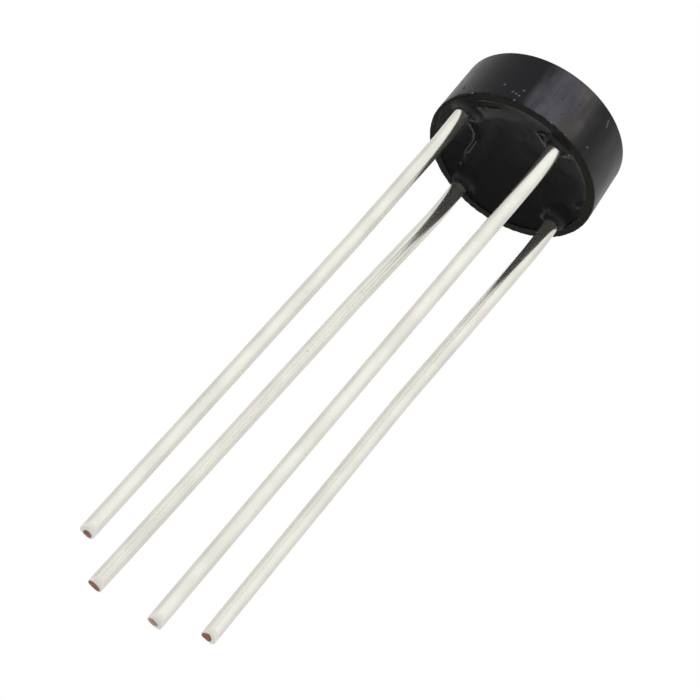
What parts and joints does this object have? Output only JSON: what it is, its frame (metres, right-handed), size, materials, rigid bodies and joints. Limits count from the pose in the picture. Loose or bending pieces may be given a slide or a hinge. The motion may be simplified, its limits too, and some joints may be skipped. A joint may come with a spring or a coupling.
{
  "type": "bridge rectifier",
  "caption": "Round potted bridge rectifier: a black plastic cup filled with epoxy, with long straight tinned leads that stand on a square grid.",
  "frame": {"origin": "centre of the cup's rim, on the seating plane that meets a circuit board, midway between the leads", "axes": "+Z from the board to the closed end of the cup; the leads go down along -Z. X and Y run along the sides of the square of leads; the positive lead is at +X -Y and the negative lead at -X +Y"},
  "size_m": [0.0095, 0.0088, 0.0371],
  "materials": {
    "case_plastic": "black moulded plastic, semi-gloss side wall",
    "epoxy": "glossy near-black potting epoxy",
    "tinned_copper": "satin tin plate, bare copper at the sheared tips",
    "silicon": "dark metallic grey",
    "solder": "dull solder",
    "coating": "off-white silicone"
  },
  "bodies": {
    "root": {"case": "case_plastic", "epoxy_fill": "epoxy", "lead_ac_1": "tinned_copper", "lead_ac_2": "tinned_copper", "lead_positive": "tinned_copper", "lead_negative": "tinned_copper", "die_ac_1_negative": "silicon", "die_ac_1_positive": "silicon", "die_ac_2_negative": "silicon", "die_ac_2_positive": "silicon", "solder_lower_ac_1_negative": "solder", "solder_lower_ac_1_positive": "solder", "solder_lower_ac_2_negative": "solder", "solder_lower_ac_2_positive": "solder", "solder_upper_ac_1_negative": "solder", "solder_upper_ac_1_positive": "solder", "solder_upper_ac_2_negative": "solder", "solder_upper_ac_2_positive": "solder", "coating_ac_1_negative": "coating", "coating_ac_1_positive": "coating", "coating_ac_2_negative": "coating", "coating_ac_2_positive": "coating"}
  },
  "joints": []
}
